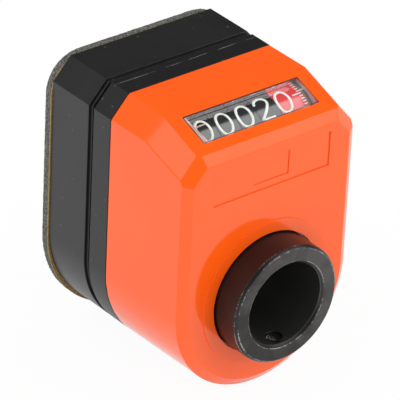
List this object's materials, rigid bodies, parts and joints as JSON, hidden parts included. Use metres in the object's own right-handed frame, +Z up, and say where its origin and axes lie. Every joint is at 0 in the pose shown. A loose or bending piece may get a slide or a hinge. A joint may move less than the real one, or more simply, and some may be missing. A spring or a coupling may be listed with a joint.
{
  "type": "mechanical position indicator",
  "caption": "Hollow-shaft position indicator: an orange case with a sloped window over number wheels, a black base with a foam seal and a dark steel bush for a spindle.",
  "frame": {"origin": "on the hollow shaft's axis, at the rear face of the black base", "axes": "+Y along the shaft towards the machine, so the front looks along -Y; +Z up to the window; +X across the width"},
  "size_m": [0.049, 0.063, 0.0691],
  "materials": {
    "orange_plastic": "glossy moulded",
    "clear_pane": "clear",
    "black_plastic": "satin moulded",
    "yellow_film": "satin",
    "grey_foam": "open sponge",
    "pin_steel": "ground",
    "black_steel": "black oxide",
    "seal_rubber": "smooth",
    "white_acetal": "moulded",
    "red_wheel": "moulded",
    "black_wheel": "moulded"
  },
  "bodies": {
    "housing": {"front_case": "orange_plastic", "window_pane": "clear_pane", "chassis_ring": "black_plastic", "rear_base": "black_plastic", "backing_film": "yellow_film", "foam_seal": "grey_foam", "torque_pin": "pin_steel", "case_screws": "pin_steel", "front_seal": "seal_rubber", "rear_seal": "seal_rubber", "counter_frame": "black_plastic", "frame_screws": "pin_steel", "counter_axle": "pin_steel", "carry_plates": "pin_steel", "idler_pin": "pin_steel"},
    "shaft": {"hollow_shaft": "black_steel", "shaft_gear": "white_acetal", "retaining_ring": "black_steel", "set_screw": "black_steel"},
    "cross": {"cross_axle": "pin_steel", "cross_gear": "white_acetal", "transfer_gear": "white_acetal"},
    "idler": {"idler_gear": "white_acetal"},
    "units": {"units_wheel": "red_wheel", "counter_gear": "white_acetal"},
    "tens": {"tens_wheel": "black_wheel"},
    "hundreds": {"hundreds_wheel": "black_wheel"},
    "thousands": {"thousands_wheel": "black_wheel"},
    "ten_thousands": {"ten_thousands_wheel": "black_wheel"},
    "pinion_a": {"carry_pinion_a": "white_acetal"},
    "pinion_b": {"carry_pinion_b": "white_acetal"},
    "pinion_c": {"carry_pinion_c": "white_acetal"},
    "pinion_d": {"carry_pinion_d": "white_acetal"}
  },
  "joints": [
    {"name": "shaft_spin", "type": "hinge", "parent": "housing", "child": "shaft", "pos_m": [0, 0, 0], "axis": [0, 1, 0], "continuous": true},
    {"name": "cross_spin", "type": "hinge", "parent": "housing", "child": "cross", "pos_m": [0, -0.01014, 0.02207], "axis": [1, 0, 0], "continuous": true},
    {"name": "idler_spin", "type": "hinge", "parent": "housing", "child": "idler", "pos_m": [0, -0.02187, 0.02002], "axis": [1, 0, 0], "continuous": true},
    {"name": "units_spin", "type": "hinge", "parent": "housing", "child": "units", "pos_m": [0, -0.03275, 0.0299], "axis": [1, 0, 0], "continuous": true},
    {"name": "tens_spin", "type": "hinge", "parent": "housing", "child": "tens", "pos_m": [0, -0.03275, 0.0299], "axis": [1, 0, 0], "continuous": true},
    {"name": "hundreds_spin", "type": "hinge", "parent": "housing", "child": "hundreds", "pos_m": [0, -0.03275, 0.0299], "axis": [1, 0, 0], "continuous": true},
    {"name": "thousands_spin", "type": "hinge", "parent": "housing", "child": "thousands", "pos_m": [0, -0.03275, 0.0299], "axis": [1, 0, 0], "continuous": true},
    {"name": "ten_thousands_spin", "type": "hinge", "parent": "housing", "child": "ten_thousands", "pos_m": [0, -0.03275, 0.0299], "axis": [1, 0, 0], "continuous": true},
    {"name": "pinion_a_spin", "type": "hinge", "parent": "housing", "child": "pinion_a", "pos_m": [0, -0.03275, 0.0236], "axis": [1, 0, 0], "continuous": true},
    {"name": "pinion_b_spin", "type": "hinge", "parent": "housing", "child": "pinion_b", "pos_m": [0, -0.03275, 0.0236], "axis": [1, 0, 0], "continuous": true},
    {"name": "pinion_c_spin", "type": "hinge", "parent": "housing", "child": "pinion_c", "pos_m": [0, -0.03275, 0.0236], "axis": [1, 0, 0], "continuous": true},
    {"name": "pinion_d_spin", "type": "hinge", "parent": "housing", "child": "pinion_d", "pos_m": [0, -0.03275, 0.0236], "axis": [1, 0, 0], "continuous": true}
  ],
  "couplings": [
    {"joint": "cross_spin", "follows": "shaft_spin", "ratio": 3},
    {"joint": "idler_spin", "follows": "shaft_spin", "ratio": -2.6667},
    {"joint": "units_spin", "follows": "shaft_spin", "ratio": 2},
    {"joint": "tens_spin", "follows": "shaft_spin", "ratio": 0.2},
    {"joint": "hundreds_spin", "follows": "shaft_spin", "ratio": 0.02},
    {"joint": "thousands_spin", "follows": "shaft_spin", "ratio": 0.002},
    {"joint": "ten_thousands_spin", "follows": "shaft_spin", "ratio": 0.0002},
    {"joint": "pinion_a_spin", "follows": "shaft_spin", "ratio": 0.66667},
    {"joint": "pinion_b_spin", "follows": "shaft_spin", "ratio": 0.066667},
    {"joint": "pinion_c_spin", "follows": "shaft_spin", "ratio": 0.0066667},
    {"joint": "pinion_d_spin", "follows": "shaft_spin", "ratio": 0.00066667}
  ]
}
